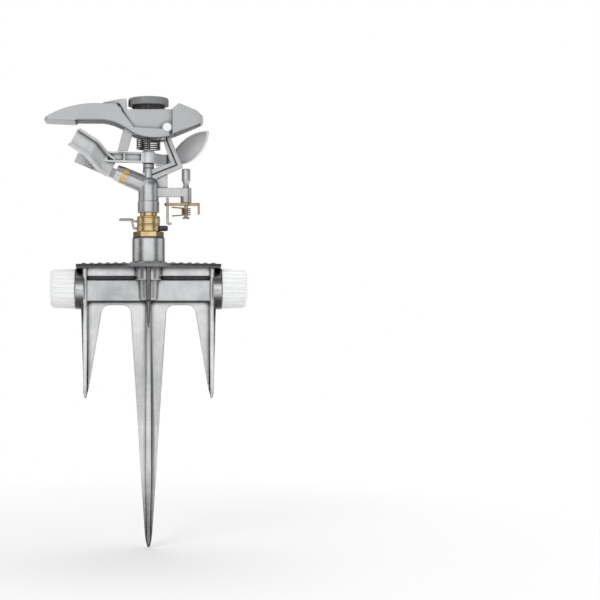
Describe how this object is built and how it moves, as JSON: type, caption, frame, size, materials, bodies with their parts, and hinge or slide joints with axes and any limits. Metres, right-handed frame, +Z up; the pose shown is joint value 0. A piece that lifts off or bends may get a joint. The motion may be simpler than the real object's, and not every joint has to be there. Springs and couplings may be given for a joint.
{
  "type": "impact sprinkler",
  "caption": "Metal impact sprinkler on a step spike: sprung drive arm, trip collars, jet breaker, and a moulded cover whose range knob tilts a deflector flap; capped hose inlets at the foot.",
  "frame": {"origin": "on the riser axis at ground level, at the middle of the cross gallery's underside where the spike enters the soil", "axes": "+Z up along the riser, -X the way the nozzle points at rest, +X and -X along the hose inlets, +Y to the back"},
  "size_m": [0.1606, 0.0698, 0.3585],
  "materials": {
    "cast_zinc": "bright polished zinc die casting",
    "cover_grey": "satin moulded plastic",
    "knob_grey": "satin moulded plastic",
    "cap_white": "moulded plastic",
    "brass": "turned brass",
    "plated": "nickel plated turned part",
    "steel": "bright steel",
    "spring_wire": "drawn spring wire",
    "spring_bronze": "bronze spring wire",
    "black_rubber": "moulded rubber",
    "black_plastic": "moulded plastic",
    "white_plastic": "low friction plastic"
  },
  "bodies": {
    "base": {"spike_base": "cast_zinc", "riser_seal": "black_rubber", "bearing_nut": "brass"},
    "cap_left": {"inlet_cap_left": "cap_white", "cap_gasket_left": "black_rubber"},
    "cap_right": {"inlet_cap_right": "cap_white", "cap_gasket_right": "black_rubber"},
    "collar_lower": {"trip_collar_lower": "brass", "stop_wire_lower": "steel", "collar_tab": "black_plastic"},
    "collar_upper": {"trip_collar_upper": "brass", "stop_wire_upper": "steel"},
    "head": {"head_body": "cast_zinc", "bearing_sleeve": "brass", "bearing_washers": "white_plastic", "neck_bush": "brass", "bearing_spring": "steel", "nozzle": "brass", "nozzle_tip": "plated", "stream_straightener": "white_plastic", "fulcrum_pin": "steel", "pin_collar": "cast_zinc", "arm_washer": "white_plastic", "arm_spring": "spring_wire", "breaker_strap": "cast_zinc", "breaker_spring": "spring_bronze", "trip_spring": "spring_bronze", "cover_shell": "cover_grey", "cover_screws": "steel", "flap_pivot_pins": "plated"},
    "arm": {"drive_arm": "cast_zinc", "arm_bush": "white_plastic"},
    "trip": {"trip_pin": "steel", "trip_post": "plated", "trip_lever": "steel", "trip_wire": "steel"},
    "breaker": {"breaker_screw": "brass"},
    "flap": {"deflector_flap": "cover_grey"},
    "knob": {"range_knob": "knob_grey", "knob_button": "knob_grey", "knob_spindle": "black_plastic"}
  },
  "joints": [
    {"name": "cap_left_off", "type": "slide", "parent": "base", "child": "cap_left", "axis": [-1, 0, 0], "range_m": [0, 0.03]},
    {"name": "cap_right_off", "type": "slide", "parent": "base", "child": "cap_right", "axis": [1, 0, 0], "range_m": [0, 0.03]},
    {"name": "collar_lower_set", "type": "hinge", "parent": "base", "child": "collar_lower", "pos_m": [0, 0, 0.0587], "axis": [0, 0, 1], "range_deg": [-8, 120]},
    {"name": "collar_upper_set", "type": "hinge", "parent": "base", "child": "collar_upper", "pos_m": [0, 0, 0.0647], "axis": [0, 0, 1], "range_deg": [-120, 8]},
    {"name": "head_swivel", "type": "hinge", "parent": "base", "child": "head", "pos_m": [0, 0, 0.0686], "axis": [0, 0, 1], "range_deg": [-130, 130], "deforming": ["bearing_spring"]},
    {"name": "arm_swing", "type": "hinge", "parent": "head", "child": "arm", "pos_m": [0, 0, 0.1153], "axis": [0, 0, 1], "range_deg": [-15, 60], "stiffness_Nm_per_rad": 0.06, "deforming": ["arm_spring"]},
    {"name": "trip_flip", "type": "hinge", "parent": "head", "child": "trip", "pos_m": [0.03, 0, 0.0782], "axis": [0, 0, 1], "range_deg": [-18, 18], "deforming": ["trip_spring"]},
    {"name": "breaker_feed", "type": "slide", "parent": "head", "child": "breaker", "axis": [0, -1, 0], "range_m": [0, 0.003], "deforming": ["breaker_spring"]},
    {"name": "flap_tilt", "type": "hinge", "parent": "head", "child": "flap", "pos_m": [0.0146, 0, 0.1378], "axis": [0, -1, 0], "range_deg": [0, 7.5]},
    {"name": "knob_turn", "type": "hinge", "parent": "head", "child": "knob", "pos_m": [0, 0, 0.1545], "axis": [0, 0, 1], "range_deg": [0, 270]}
  ],
  "couplings": [
    {"joint": "flap_tilt", "follows": "knob_turn", "ratio": 0.027778}
  ]
}
